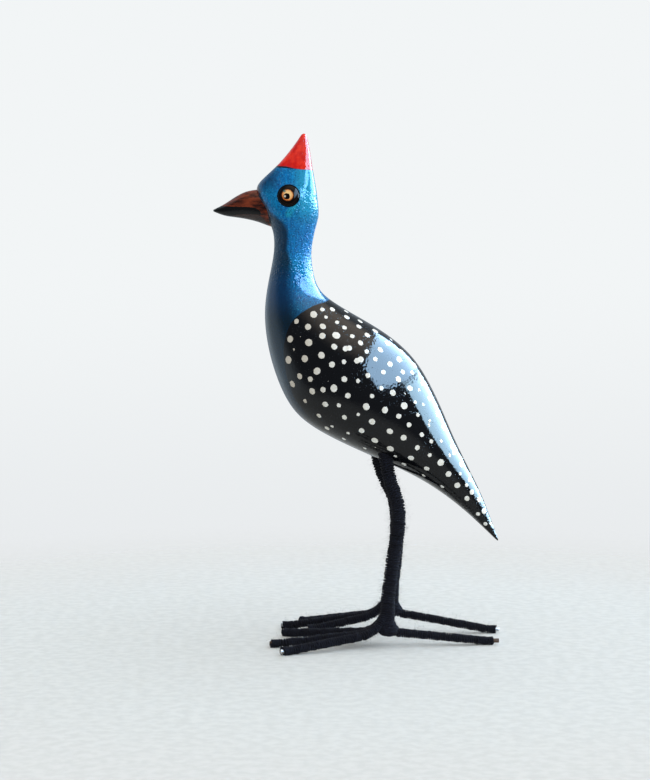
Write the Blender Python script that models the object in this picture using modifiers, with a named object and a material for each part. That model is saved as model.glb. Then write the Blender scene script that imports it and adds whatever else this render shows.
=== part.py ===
# A guinea fowl carved in wood and painted, on two legs of wire wound with yarn.
# Metres, +Z up. The beak points to -X, and the bird's left side faces -Y.

import math

import bmesh
import bpy
from mathutils import Matrix, Vector
from mathutils.bvhtree import BVHTree

# Driving dimensions
CARVING_HEIGHT = 0.179      # tip of the tail to tip of the casque
TAIL_CLEARANCE = 0.0443     # ground to tip of the tail
LEG_DIAMETER = 0.0064       # wound leg
TOE_DIAMETER = 0.0040       # wound toe
WIRE_DIAMETER = 0.0018      # bare wire in the end of a toe
WIRE_SEAT = 0.0035          # length of wire held in the toe
HIP_DEPTH = 0.0105          # length of leg held in the belly
ANKLE_LENGTH = 0.0098       # knot of yarn where the toes part, front to back
ANKLE_WIDTH = 0.0090        # the same knot, side to side
ANKLE_HEIGHT = 0.0064       # the same knot, top to bottom
ANKLE_DROP = 0.0002         # how far the knot hangs below the toes that leave it
FRONT_BEND = 0.0120         # radius of the bend from the leg into each front toe
BACK_BEND = 0.0050          # the same for the back toe
TOE_START = 0.0009          # how far in front of the ankle's middle a front toe's bend starts
ANKLE_RISE = 0.0040         # how far the ankle stands above the level of the toe tips
TOE_LENGTH = 0.0510         # middle of the ankle to the tip of the wire
WIRE_SHOWING = 0.0013       # bare wire beyond the yarn of a toe
LEG_BOW = 0.0058            # how far a leg bows to the back between ankle and hip
TOE_TOUCHDOWN = 0.0036      # end of each toe that lies flat on the ground
GROUND_PRESS = 0.00025      # how far the ground flattens the yarn of a toe
EYE_DIAMETER = 0.0095
EYE_BULGE = 0.0017          # height of the eye's dome above its rim
EYE_SINK = 0.0008           # depth of the rim under the carved cheek
EYE_SEAT = 0.0022           # thickness of the eye behind its rim
CLEARANCE = 0.0003          # gap around every seated piece

# The carving's sections from the casque down to the tail, in thousandths of its height.
# Each row holds the front point (x, z), the back point (x, z) and the half width.
# x is measured from the middle of the bird's length, z from the tip of the tail.
CARVING_SECTIONS = (
    (-134, 1000, -125, 1000, 4),
    (-153, 973, -117, 973, 18),
    (-190, 927, -110, 926, 35),
    (-231, 889, -102, 880, 48),
    (-245, 869, -98, 857, 53),
    (-242, 845, -95, 831, 57),
    (-225, 804, -93, 800, 55),
    (-205, 764, -102, 767, 46),
    (-203, 710, -112, 711, 40),
    (-216, 644, -105, 653, 46),
    (-226, 574, -83, 608, 64),
    (-221, 496, -14, 563, 92),
    (-196, 401, 71, 513, 119),
    (-144, 307, 145, 447, 131),
    (-37, 243, 198, 353, 122),
    (71, 195, 237, 262, 96),
    (173, 144, 273, 188, 67),
    (260, 81, 310, 112, 37),
    (322, 24, 339, 36, 15),
    (348, 0, 350, 2, 2),
)
SECTION_STEPS = 3           # sections blended in between two of those rows
BODY_SIDES = 28

# The beak's sections from inside the head to its tip, in the same thousandths.
# Each row holds x, the top and bottom z and the half width.
BEAK_SECTIONS = (
    (-200, 862, 767, 31),
    (-222, 864, 774, 32),
    (-243, 865, 784, 31),
    (-272, 860, 793, 27),
    (-298, 847, 799, 22),
    (-325, 829, 803, 15),
    (-349, 817, 810, 6),
    (-352, 815, 812, 2),
)
BEAK_SIDES = 20

# Middle of each eye, in the same thousandths
EYE_X = -166
EYE_Z = 847

# The stance of each foot. Hip and ankle are thousandths of the carving's height from
# its middle, backwards and outwards. The rise is a share of ANKLE_RISE and the bow a
# share of LEG_BOW. The bend gives the share of the way from ankle to hip, and the share
# of the bow there. A toe is its share of TOE_LENGTH, its heading in degrees away from
# straight ahead (positive turns outwards) and its share of WIRE_SHOWING.
FEET = {
    "left": {
        "side": -1,
        "hip": (64, 56),
        "ankle": (76, 89),
        "rise": 1.1,
        "bow": 1.05,
        "bend": ((0.0, 0.0), (0.16, 0.05), (0.27, 0.36), (0.37, 0.54), (0.46, 0.76),
                 (0.55, 0.94), (0.64, 0.96), (0.71, 0.73), (0.79, 0.39), (0.90, 0.17),
                 (1.0, 0.0)),
        "toes": {
            "outer": (1.008, 26.0, 0.4),
            "middle": (1.018, 4.9, 0.5),
            "inner": (1.020, -26.3, 0.4),
            "back": (0.957, -176.9, 2.0),
        },
    },
    "right": {
        "side": 1,
        "hip": (39, 56),
        "ankle": (92, 95),
        "rise": 1.85,
        "bow": 1.26,
        "bend": ((0.0, 0.0), (0.16, 0.17), (0.27, 0.44), (0.37, 0.68), (0.46, 0.85),
                 (0.55, 0.97), (0.64, 0.90), (0.71, 0.61), (0.79, 0.34), (0.90, 0.15),
                 (1.0, 0.0)),
        "toes": {
            "outer": (0.925, 25.5, 0.4),
            "middle": (1.004, 8.6, 0.5),
            "inner": (0.771, -3.0, 0.4),
            "back": (0.951, -176.2, 1.0),
        },
    },
}

TOE_DROOP = 1.05            # 1 for toes that slope straight down, more for arched ones
TUBE_ROUNDNESS = 4          # bevel resolution of the wound tubes, 12 sides
TOE_STEPS = 8
BEND_STEPS = 3
WIRE_SIDES = 12
EYE_STEPS = 20


def clear_scene():
    for old in list(bpy.data.objects):
        bpy.data.objects.remove(old, do_unlink=True)


def new_collection(name):
    collection = bpy.data.collections.new(name)
    bpy.context.scene.collection.children.link(collection)
    return collection


def new_material(name, color, roughness, metallic=0.0):
    material = bpy.data.materials.new(name)
    material.use_nodes = True
    shader = material.node_tree.nodes["Principled BSDF"]
    shader.inputs["Base Color"].default_value = (*color, 1.0)
    shader.inputs["Roughness"].default_value = roughness
    shader.inputs["Metallic"].default_value = metallic
    return material


def carved_point(x, z, y=0.0):
    """A place in the carving, from thousandths of its height."""
    unit = CARVING_HEIGHT / 1000.0
    return Vector((x * unit, y * unit, TAIL_CLEARANCE + z * unit))


def smooth_through(knots, steps):
    """Tuples blended through the knots by a Catmull-Rom curve."""
    rows = []
    for i in range(len(knots) - 1):
        before = knots[max(i - 1, 0)]
        start = knots[i]
        end = knots[i + 1]
        after = knots[min(i + 2, len(knots) - 1)]
        for k in range(steps):
            t = k / steps
            rows.append(tuple(
                0.5 * (2 * b + (c - a) * t + (2 * a - 5 * b + 4 * c - d) * t * t
                       + (3 * b - a - 3 * c + d) * t ** 3)
                for a, b, c, d in zip(before, start, end, after)))
    rows.append(tuple(knots[-1]))
    return rows


def section_ring(front, back, half_width, sides):
    """An oval whose long axis runs from the front point to the back point."""
    middle = (front + back) / 2
    reach = (back - front) / 2
    across = Vector((0.0, half_width, 0.0))
    ring = []
    for i in range(sides):
        angle = 2 * math.pi * i / sides
        ring.append(middle + reach * math.cos(angle) + across * math.sin(angle))
    return ring


def object_from_bmesh(name, bm, collection):
    bmesh.ops.recalc_face_normals(bm, faces=bm.faces)
    mesh = bpy.data.meshes.new(name)
    bm.to_mesh(mesh)
    bm.free()
    obj = bpy.data.objects.new(name, mesh)
    collection.objects.link(obj)
    mesh.shade_smooth()
    return obj


def loft(name, rings, collection):
    """One skin over a row of rings, closed at both ends."""
    bm = bmesh.new()
    loops = [[bm.verts.new(point) for point in ring] for ring in rings]
    for lower, upper in zip(loops[:-1], loops[1:]):
        for i in range(len(lower)):
            j = (i + 1) % len(lower)
            bm.faces.new((lower[i], lower[j], upper[j], upper[i]))
    bm.faces.new(loops[0])
    bm.faces.new(loops[-1])
    return object_from_bmesh(name, bm, collection)


def tube(name, points, radius, collection):
    """A round tube along a path, as a mesh with welded caps."""
    data = bpy.data.curves.new(name, "CURVE")
    data.dimensions = "3D"
    data.bevel_depth = radius
    data.bevel_resolution = TUBE_ROUNDNESS
    data.use_fill_caps = True
    spline = data.splines.new("POLY")
    spline.points.add(len(points) - 1)
    for knot, point in zip(spline.points, points):
        knot.co = (*point, 1.0)
    curve = bpy.data.objects.new(name + "_path", data)
    collection.objects.link(curve)
    bpy.context.view_layer.update()
    evaluated = curve.evaluated_get(bpy.context.evaluated_depsgraph_get())
    mesh = bpy.data.meshes.new_from_object(evaluated)
    bm = bmesh.new()
    bm.from_mesh(mesh)
    bmesh.ops.remove_doubles(bm, verts=bm.verts, dist=0.00001)
    bm.to_mesh(mesh)
    bm.free()
    obj = bpy.data.objects.new(name, mesh)
    obj.matrix_world = curve.matrix_world
    collection.objects.link(obj)
    bpy.data.objects.remove(curve, do_unlink=True)
    mesh.shade_smooth()
    return obj


def rod(name, start, end, radius, collection):
    """A straight round bar from start to end."""
    axis = end - start
    bm = bmesh.new()
    bmesh.ops.create_cone(bm, cap_ends=True, segments=WIRE_SIDES, radius1=radius,
                          radius2=radius, depth=axis.length)
    obj = object_from_bmesh(name, bm, collection)
    obj.location = (start + end) / 2
    obj.rotation_euler = axis.to_track_quat("Z", "Y").to_euler()
    obj.data.set_sharp_from_angle(angle=math.radians(40))
    return obj


def hide_cutter(obj):
    obj.hide_render = True
    obj.display_type = "WIRE"


def combine(target, other, operation):
    modifier = target.modifiers.new(other.name, "BOOLEAN")
    modifier.operation = operation
    modifier.solver = "EXACT"
    modifier.object = other
    hide_cutter(other)


# The carving: casque, head, neck, body and tail in one piece, with the beak
def carving_blank(collection):
    rings = []
    for fx, fz, bx, bz, half in smooth_through(CARVING_SECTIONS, SECTION_STEPS):
        width = half * CARVING_HEIGHT / 1000.0
        rings.append(section_ring(carved_point(fx, fz), carved_point(bx, bz), width, BODY_SIDES))
    return loft("carved_body", rings, collection)


def beak_blank(collection):
    rings = []
    for x, top, bottom, half in smooth_through(BEAK_SECTIONS, 2):
        width = half * CARVING_HEIGHT / 1000.0
        rings.append(section_ring(carved_point(x, top), carved_point(x, bottom), width, BEAK_SIDES))
    return loft("beak", rings, collection)


def eye_frame(blank, side):
    """Where an eye sits: its local +Z leaves the cheek, and its rim is at the origin."""
    bm = bmesh.new()
    bm.from_mesh(blank.data)
    skin = BVHTree.FromBMesh(bm)
    outside = carved_point(EYE_X, EYE_Z, side * 500)
    spot, normal, _, _ = skin.ray_cast(outside, Vector((0.0, -side, 0.0)))
    bm.free()
    if normal.y * side < 0:
        normal = -normal
    turn = normal.to_track_quat("Z", "X").to_matrix().to_4x4()
    return Matrix.Translation(spot - normal * EYE_SINK) @ turn


def eye(name, frame, collection):
    """A domed disc, turned from the profile of its outer side."""
    radius = EYE_DIAMETER / 2
    bm = bmesh.new()
    profile = []
    for i in range(6):
        angle = math.pi / 2 * i / 5
        profile.append((radius * math.sin(angle), EYE_BULGE * math.cos(angle)))
    profile += [(radius, -EYE_SEAT), (0.0, -EYE_SEAT)]
    points = [bm.verts.new((x, 0.0, z)) for x, z in profile]
    for a, b in zip(points[:-1], points[1:]):
        bm.edges.new((a, b))
    mesh = bpy.data.meshes.new(name)
    bm.to_mesh(mesh)
    bm.free()
    obj = bpy.data.objects.new(name, mesh)
    collection.objects.link(obj)
    screw = obj.modifiers.new("Turn", "SCREW")
    screw.steps = EYE_STEPS
    screw.render_steps = EYE_STEPS
    screw.use_merge_vertices = True
    screw.merge_threshold = 0.00001
    screw.use_smooth_shade = True
    obj.matrix_world = frame
    return obj


def eye_socket(name, frame, collection):
    deep = frame @ Vector((0.0, 0.0, -EYE_SEAT - CLEARANCE))
    high = frame @ Vector((0.0, 0.0, EYE_DIAMETER))
    return rod(name, deep, high, EYE_DIAMETER / 2 + CLEARANCE, collection)


# The legs: wound tubes that run from the belly to the ankle and out along the toes
def on_ground(foot, place):
    """A place under the carving at the height of a toe's middle."""
    point = carved_point(place[0], 0.0, foot["side"] * place[1])
    point.z = TOE_DIAMETER / 2 - GROUND_PRESS
    return point


def ankle_rise(foot):
    return foot["rise"] * ANKLE_RISE


def leg_path(foot):
    ankle = on_ground(foot, foot["ankle"])
    ankle.z += ankle_rise(foot)
    hip = on_ground(foot, foot["hip"])
    hip.z = belly_height(hip.x) + HIP_DEPTH
    bow = foot["bow"] * LEG_BOW
    path = []
    for share, bend in smooth_through(foot["bend"], 2):
        path.append(ankle.lerp(hip, share) + Vector((bend * bow, 0.0, 0.0)))
    return path


def belly_height(x):
    """Height of the underside of the carving, below the place x on its middle line."""
    rows = smooth_through(CARVING_SECTIONS, SECTION_STEPS)
    points = [carved_point(row[0], row[1]) for row in rows]
    for a, b in zip(points[:-1], points[1:]):
        if a.x <= x <= b.x:
            return a.lerp(b, (x - a.x) / (b.x - a.x)).z
    return points[-1].z


def toe_direction(foot, heading):
    angle = math.radians(heading)
    return Vector((-math.cos(angle), foot["side"] * math.sin(angle), 0.0))


def toe_path(foot, toe):
    """Down inside the leg, round the bend of the ankle and out along the toe."""
    length, heading, wire_shows = toe
    start = on_ground(foot, foot["ankle"])
    direction = toe_direction(foot, heading)
    end = length * TOE_LENGTH - wire_shows * WIRE_SHOWING
    touchdown = end - TOE_TOUCHDOWN
    goes_back = direction.x > 0
    bend = BACK_BEND if goes_back else FRONT_BEND
    first = 0.0 if goes_back else TOE_START
    places = []
    for i in range(BEND_STEPS):
        angle = math.pi / 2 * i / BEND_STEPS
        places.append((first + bend * (1 - math.cos(angle)), bend * (1 - math.sin(angle))))
    straight = first + bend
    for i in range(TOE_STEPS + 1):
        places.append((straight + (touchdown - straight) * i / TOE_STEPS, 0.0))
    path = []
    for along, lift in places:
        rise = ankle_rise(foot) * (1 - (along / touchdown) ** TOE_DROOP)
        path.append(start + direction * along + Vector((0.0, 0.0, rise + lift)))
    path.append(start + direction * end)
    return path


def ankle_knot(name, foot, collection):
    """The lump of yarn around an ankle."""
    middle = on_ground(foot, foot["ankle"])
    middle.z += ankle_rise(foot) + (ANKLE_HEIGHT - TOE_DIAMETER) / 2 - ANKLE_DROP
    bm = bmesh.new()
    size = Matrix.Diagonal((ANKLE_LENGTH / 2, ANKLE_WIDTH / 2, ANKLE_HEIGHT / 2, 1.0))
    bmesh.ops.create_uvsphere(bm, u_segments=16, v_segments=10, radius=1.0, matrix=size)
    obj = object_from_bmesh(name, bm, collection)
    obj.location = middle
    return obj


def ground_block(collection):
    """Everything below the ground, which the toes are pressed flat on."""
    size = CARVING_HEIGHT
    bm = bmesh.new()
    bmesh.ops.create_cube(bm, size=size)
    obj = object_from_bmesh("ground", bm, collection)
    obj.location = (0.0, 0.0, -size / 2)
    hide_cutter(obj)
    return obj


def leg(name, foot, ground, parts, cutters):
    wound = tube(name, leg_path(foot), LEG_DIAMETER / 2, parts)
    combine(wound, ankle_knot(name + "_knot", foot, cutters), "UNION")
    for toe_name, toe in foot["toes"].items():
        toe_tube = tube(f"{name}_{toe_name}_toe", toe_path(foot, toe), TOE_DIAMETER / 2, cutters)
        combine(wound, toe_tube, "UNION")
    combine(wound, ground, "DIFFERENCE")
    return wound


def toe_wire(name, foot, toe, wound, parts, cutters):
    """The bare end of the wire, seated in a socket in the end of its toe."""
    wire_shows = toe[2] * WIRE_SHOWING
    yarn_end = toe_path(foot, toe)[-1]
    direction = toe_direction(foot, toe[1])
    radius = WIRE_DIAMETER / 2
    wire = rod(name, yarn_end - direction * WIRE_SEAT, yarn_end + direction * wire_shows,
               radius, parts)
    socket = rod(name + "_socket", yarn_end - direction * (WIRE_SEAT + CLEARANCE),
                 yarn_end + direction * WIRE_SEAT, radius + CLEARANCE, cutters)
    combine(wound, socket, "DIFFERENCE")
    return wire


def hip_socket(name, foot, collection):
    """The drilled hole that a leg is glued into, along the leg's own line."""
    path = leg_path(foot)
    inner = path[-1]
    direction = (inner - path[-3]).normalized()
    mouth = inner - direction * HIP_DEPTH * 2
    return rod(name, mouth, inner + direction * CLEARANCE, LEG_DIAMETER / 2 + CLEARANCE,
               collection)


def centre_over_origin(parts, empty):
    """Moves the bird so that the middle of its bounding box is above the origin."""
    bpy.context.view_layer.update()
    depsgraph = bpy.context.evaluated_depsgraph_get()
    corners = []
    for obj in parts.objects:
        if obj.type == "MESH":
            evaluated = obj.evaluated_get(depsgraph)
            corners += [evaluated.matrix_world @ v.co for v in evaluated.data.vertices]
    empty.location.x -= (min(c.x for c in corners) + max(c.x for c in corners)) / 2
    empty.location.y -= (min(c.y for c in corners) + max(c.y for c in corners)) / 2
    bpy.context.view_layer.update()


def build():
    clear_scene()
    parts = new_collection("wooden_guinea_fowl")
    cutters = new_collection("cutters")

    painted_wood = new_material("painted_wood", (0.02, 0.10, 0.16), 0.25)
    eye_paint = new_material("eye_lacquer", (0.02, 0.015, 0.01), 0.08)
    yarn = new_material("black_yarn", (0.012, 0.012, 0.016), 0.95)
    steel = new_material("steel_wire", (0.32, 0.27, 0.22), 0.45, 1.0)

    body = carving_blank(parts)
    body.data.materials.append(painted_wood)
    frames = {name: eye_frame(body, foot["side"]) for name, foot in FEET.items()}
    combine(body, beak_blank(cutters), "UNION")
    ground = ground_block(cutters)
    for name, foot in FEET.items():
        eyeball = eye(f"{name}_eye", frames[name], parts)
        eyeball.data.materials.append(eye_paint)
        combine(body, eye_socket(f"{name}_eye_socket", frames[name], cutters), "DIFFERENCE")
        combine(body, hip_socket(f"{name}_hip_socket", foot, cutters), "DIFFERENCE")
        wound = leg(f"{name}_leg", foot, ground, parts, cutters)
        wound.data.materials.append(yarn)
        for toe_name, toe in foot["toes"].items():
            wire = toe_wire(f"{name}_{toe_name}_toe_wire", foot, toe, wound, parts, cutters)
            wire.data.materials.append(steel)

    stance = bpy.data.objects.new("stance", None)
    parts.objects.link(stance)
    for obj in list(parts.objects) + list(cutters.objects):
        if obj is not stance:
            obj.parent = stance
    centre_over_origin(parts, stance)


build()
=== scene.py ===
import math
import random

import bmesh
import bpy
import numpy as np
from mathutils import Matrix, Vector, kdtree, noise
from mathutils.bvhtree import BVHTree


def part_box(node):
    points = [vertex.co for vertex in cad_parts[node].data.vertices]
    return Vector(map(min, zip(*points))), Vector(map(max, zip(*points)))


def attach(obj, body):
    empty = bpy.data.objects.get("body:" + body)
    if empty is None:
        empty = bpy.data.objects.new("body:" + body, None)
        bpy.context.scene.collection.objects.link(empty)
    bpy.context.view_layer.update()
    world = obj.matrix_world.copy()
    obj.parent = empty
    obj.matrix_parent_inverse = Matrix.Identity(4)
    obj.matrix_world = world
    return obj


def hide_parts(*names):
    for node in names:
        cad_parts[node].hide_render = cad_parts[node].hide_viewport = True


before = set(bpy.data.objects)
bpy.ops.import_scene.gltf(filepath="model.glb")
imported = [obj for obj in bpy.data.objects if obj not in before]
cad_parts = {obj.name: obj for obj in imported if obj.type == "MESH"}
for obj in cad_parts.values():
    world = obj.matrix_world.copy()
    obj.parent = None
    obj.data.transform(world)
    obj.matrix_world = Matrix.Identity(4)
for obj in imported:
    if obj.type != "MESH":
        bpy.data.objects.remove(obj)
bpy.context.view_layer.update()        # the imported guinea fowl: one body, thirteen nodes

mm = 0.001
scene = bpy.context.scene

# The carving's own measure: a thousandth of its height, from the middle of its length
# and the tip of its tail. Its widest reach in front is the tip of the beak.
carvingLow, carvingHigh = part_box("carved_body")
unit = (carvingHigh.z - carvingLow.z) / 1000
beakTipX = -352
carvingStart = Vector((carvingLow.x - beakTipX * unit, (carvingLow.y + carvingHigh.y) / 2,
                       carvingLow.z))


def carved(x, z, y=0.0):
    return carvingStart + Vector((x, y, z)) * unit


def smoothThrough(knots, steps):
    # Catmull-Rom blend of number tuples
    rows = []
    for i in range(len(knots) - 1):
        before, start = knots[max(i - 1, 0)], knots[i]
        end, after = knots[i + 1], knots[min(i + 2, len(knots) - 1)]
        for k in range(steps):
            t = k / steps
            rows.append(tuple(
                0.5 * (2 * b + (c - a) * t + (2 * a - 5 * b + 4 * c - d) * t * t
                       + (3 * b - a - 3 * c + d) * t ** 3)
                for a, b, c, d in zip(before, start, end, after)))
    rows.append(tuple(knots[-1]))
    return rows


def link(name, data):
    made = bpy.data.objects.new(name, data)
    scene.collection.objects.link(made)
    return made


def showMesh(name, bm, matrix=None, creaseAngle=180.0):
    # edges that turn by more than the crease angle stay sharp
    bmesh.ops.transform(bm, matrix=matrix or Matrix(), verts=bm.verts)
    mesh = bpy.data.meshes.new(name)
    bm.to_mesh(mesh)
    bm.free()
    mesh.shade_smooth()
    if creaseAngle < 180:
        mesh.set_sharp_from_angle(angle=math.radians(creaseAngle))
    return link(name, mesh)


def aimed(spot, direction, up="Y"):
    # stands at the spot, with its Z axis along the direction
    return Matrix.Translation(spot) @ direction.to_track_quat("Z", up).to_matrix().to_4x4()


def rod(radius, length, sides):
    bm = bmesh.new()
    bmesh.ops.create_cone(bm, cap_ends=True, segments=sides, radius1=radius, radius2=radius,
                          depth=length)
    return bm


def finalMesh(piece):
    bpy.context.view_layer.update()
    evaluated = piece.evaluated_get(bpy.context.evaluated_depsgraph_get())
    return bpy.data.meshes.new_from_object(evaluated)


def bakeModifiers(piece):
    # the piece keeps what its modifiers make, not the modifiers
    made = finalMesh(piece)
    piece.modifiers.clear()
    piece.data = made
    return piece


def putAttribute(mesh, name, values):
    layer = mesh.attributes.new(name, "FLOAT", "POINT")
    layer.data.foreach_set("value", np.asarray(values, dtype=np.float32))


class Signal:
    # a socket that shader maths can be written with
    def __init__(self, work, socket):
        self.work = work
        self.socket = socket

    def maths(self, operation, first, second):
        return self.work.node("Math", {"operation": operation}, {0: first, 1: second})

    def __add__(self, other):
        return self.maths("ADD", self, other)

    def __sub__(self, other):
        return self.maths("SUBTRACT", self, other)

    def __rsub__(self, other):
        return self.maths("SUBTRACT", other, self)

    def __mul__(self, other):
        return self.maths("MULTIPLY", self, other)

    def __truediv__(self, other):
        return self.maths("DIVIDE", self, other)

    def ramp(self, low, high, bottom=0.0, top=1.0):
        # runs from bottom to top while the signal goes from low to high
        return self.work.node("MapRange", {"interpolation_type": "SMOOTHSTEP"},
                              {"Value": self, "From Min": low, "From Max": high,
                               "To Min": bottom, "To Max": top})

    def within(self, low, high, soft):
        return self.ramp(low - soft, low + soft) * self.ramp(high + soft, high - soft)

    def most(self, other):
        return self.maths("MAXIMUM", self, other)


class NodeWork:
    # a node tree and the shader that it feeds
    def __init__(self, owner, shader):
        owner.use_nodes = True
        self.owner = owner
        self.tree = owner.node_tree
        self.shader = self.tree.nodes[shader]

    def node(self, kind, settings=None, inputs=None, output=0):
        made = self.tree.nodes.new("ShaderNode" + kind)
        for key, value in (settings or {}).items():
            setattr(made, key, value)
        for key, value in (inputs or {}).items():
            self.feed(made.inputs[key], value)
        return Signal(self, made.outputs[output])

    def feed(self, socket, value):
        if isinstance(value, Signal):
            self.tree.links.new(value.socket, socket)
        else:
            socket.default_value = value

    def mix(self, share, first, second, mode="MIX"):
        return self.node("Mix", {"data_type": "RGBA", "blend_type": mode},
                         {0: share, 6: first, 7: second}, 2)

    def layers(self, color, *coats):
        # each coat is a share and a colour, laid over what is there
        for share, coat in coats:
            color = self.mix(share, color, coat)
        return color

    def finish(self, **varied):
        for socket, signal in varied.items():
            self.feed(self.shader.inputs[socket.replace("_", " ")], signal)
        return self.owner


class Paint(NodeWork):
    # a material; what is the same all over is set first
    def __init__(self, name, **plain):
        super().__init__(bpy.data.materials.new(name), "Principled BSDF")
        for socket, value in plain.items():
            self.shader.inputs[socket.replace("_", " ")].default_value = value

    def attribute(self, name):
        return self.node("Attribute", {"attribute_name": name}, output="Fac")

    def place(self, stretch=(1, 1, 1)):
        here = self.node("TexCoord", output="Object")
        return self.node("Mapping", {}, {"Vector": here, "Scale": stretch})

    def grain(self, scale, detail=2.0, stretch=(1, 1, 1), roughness=0.5):
        return self.node("TexNoise", {}, {"Vector": self.place(stretch), "Scale": scale,
                                          "Detail": detail, "Roughness": roughness})

    def cells(self, scale):
        return self.node("TexVoronoi", {}, {"Vector": self.place(), "Scale": scale}, "Distance")

    def relief(self, height, depth, strength, over=None):
        inputs = {"Height": height, "Distance": depth, "Strength": strength}
        if over is not None:
            inputs["Normal"] = over
        return self.node("Bump", {}, inputs)


def rgb(*levels):
    # a colour as a picture shows it, from 0 to 255, turned to linear light
    shares = [level / 255 for level in levels]
    linear = [s / 12.92 if s <= 0.04045 else ((s + 0.055) / 1.055) ** 2.4 for s in shares]
    return (*linear, 1.0)


# Camera: a long lens, looking along +Y and a little down
view = {
    "picture": (650, 780),  # pixels
    "lens": 85.0,
    "film": 36.0,
    "distance": 0.813,
    "height": 0.1535,
    "besideBird": -0.0139,
    "tiltDown": 3.0,
}
focal = view["lens"] / view["film"] * max(view["picture"])  # in pixels


def setCamera():
    data = bpy.data.cameras.new("camera")
    data.lens = view["lens"]
    data.sensor_width = view["film"]
    data.clip_start = 0.01
    camera = link("camera", data)
    middle = carved(0, 0)
    camera.location = (middle.x + view["besideBird"], middle.y - view["distance"], view["height"])
    camera.rotation_euler = (math.radians(90 - view["tiltDown"]), 0, 0)
    scene.camera = camera


def seenThrough(across, down):
    # where the camera stands, and the way it looks through a pixel of the picture
    wide, high = view["picture"]
    stance = scene.camera.matrix_basis
    way = stance.to_3x3() @ Vector(((across - wide / 2) / focal, (high / 2 - down) / focal, -1))
    return stance.translation.copy(), way.normalized()


setCamera()
print("camera set")

# The carving. A row is one slanted section: front point (x, z), back point (x, z) and
# half width, in thousandths, and its roundness: 1 is an oval, less has flatter sides.
# The beak is made of ovals, so its rows are x, top z, bottom z and half width.
carving = {
    "sections": (
        (-134, 1002, -125, 1002, 4, 1),
        (-153, 973, -117, 973, 20, 0.64),
        (-190, 927, -110, 926, 36, 0.48),
        (-231, 889, -102, 880, 46, 0.47),
        (-245, 869, -98, 857, 52, 0.64),
        (-242, 845, -95, 831, 57, 0.74),
        (-225, 804, -93, 800, 55, 0.89),
        (-205, 764, -102, 767, 46, 0.97),
        (-203, 710, -112, 711, 40, 1),
        (-216, 644, -105, 653, 46, 1),
        (-226, 574, -83, 608, 64, 1),
        (-221, 496, -14, 563, 92, 1),
        (-196, 401, 71, 513, 119, 1),
        (-144, 307, 145, 447, 131, 1),
        (-37, 243, 198, 353, 122, 1),
        (71, 195, 237, 262, 96, 1),
        (173, 144, 273, 188, 67, 1),
        (260, 81, 310, 112, 37, 1),
        (322, 24, 339, 36, 15, 1),
        (350, -3, 353, -1, 3, 1),
    ),
    "steps": 2,
    "sides": 26,
    "smoothing": 3,
    "beak": (
        (-200, 862, 771, 31),
        (-222, 864, 778, 32),
        (-243, 865, 786, 31),
        (-272, 860, 793, 27),
        (-298, 847, 797, 22),
        (-325, 829, 801, 15),
        (-349, 817, 810, 6),
        (-352, 815, 812, 2),
    ),
    "beakSides": 20,
    "beakSmoothing": 2,
    "creaseAngle": 38.0,
    "clear": 500,  # thousandths to the side, outside the carving
}


def ringMatrix(front, back, half, swell):
    # turns the unit circle into an oval from front to back, half wide to each side
    middle = (front + back) / 2
    reach = (back - front) / 2 * swell
    across = Vector((0, half * swell, 0))
    facing = reach.cross(across).normalized()
    turn = Matrix((reach, across, facing)).transposed().to_4x4()
    return Matrix.Translation(middle) @ turn


def skinOver(name, sections, sides, smoothing):
    # rings bridged one to the next, closed at both ends and smoothed; each is swollen
    # first by as much as the smoothing draws it in
    swell = 1 / (2 / 3 + math.cos(2 * math.pi / sides) / 3)
    bm = bmesh.new()
    last = None
    for front, back, half, roundness in sections:
        ring = bmesh.ops.create_circle(bm, segments=sides, radius=1.0)
        for vert in ring["verts"]:
            vert.co = [math.copysign(abs(c) ** roundness, c) for c in vert.co]
        bmesh.ops.transform(bm, matrix=ringMatrix(front, back, half, swell), verts=ring["verts"])
        edges = list({edge for vert in ring["verts"] for edge in vert.link_edges})
        if last is None:
            bmesh.ops.contextual_create(bm, geom=edges)
        else:
            bmesh.ops.bridge_loops(bm, edges=last + edges)
        last = edges
    bmesh.ops.contextual_create(bm, geom=last)
    bmesh.ops.recalc_face_normals(bm, faces=bm.faces)
    piece = showMesh(name, bm)
    smooth = piece.modifiers.new("smooth", "SUBSURF")
    smooth.levels = smoothing
    return bakeModifiers(piece)


def sectionsOf(rows):
    for fx, fz, bx, bz, half, roundness in smoothThrough(rows, carving["steps"]):
        yield carved(fx, fz), carved(bx, bz), half * unit, roundness


def carveWith(piece, tool, operation):
    knife = piece.modifiers.new("carve", "BOOLEAN")
    knife.solver = "EXACT"
    knife.operation = operation
    knife.object = tool
    bakeModifiers(piece)
    bpy.data.objects.remove(tool)


def roundBar(name, start, end, radius, sides=40):
    axis = end - start
    return showMesh(name, rod(radius, axis.length, sides), aimed((start + end) / 2, axis))


carvedBody = skinOver("painted_carving", sectionsOf(carving["sections"]), carving["sides"],
                      carving["smoothing"])
print("carving blank:", len(carvedBody.data.polygons), "faces")

# The eyes: domes set in the cheeks
eyes = {
    "middle": (-166, 847),  # thousandths, x and z
    "diameter": 0.0095,
    "bulge": 0.0017,
    "sink": 0.0008,
    "seat": 0.0020,
    "gap": 0.00006,
    "holeTop": 0.01,
    "holeSides": 72,
    "rimDrop": 0.0001,
    "domeSteps": 14,
    "domeSides": 64,
    "fullness": 0.8,  # the dome's rise: less than 1 is flatter on top
    "creaseAngle": 50.0,
    "sheenRingRadius": 3.55,  # millimetres
    "irisMiddle": (0.42, 0.34),  # towards the beak and up
    "irisRadius": 2.42,
    "pupilMiddle": (0.78, -0.20),
    "pupilRadius": 1.38,
    # the middles of the painted teal reflection in the iris and the painted glint on the pupil
    "tealGlintMiddle": (1.75, 2.05),
    "glintMiddle": (1.55, -0.15),
}


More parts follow.
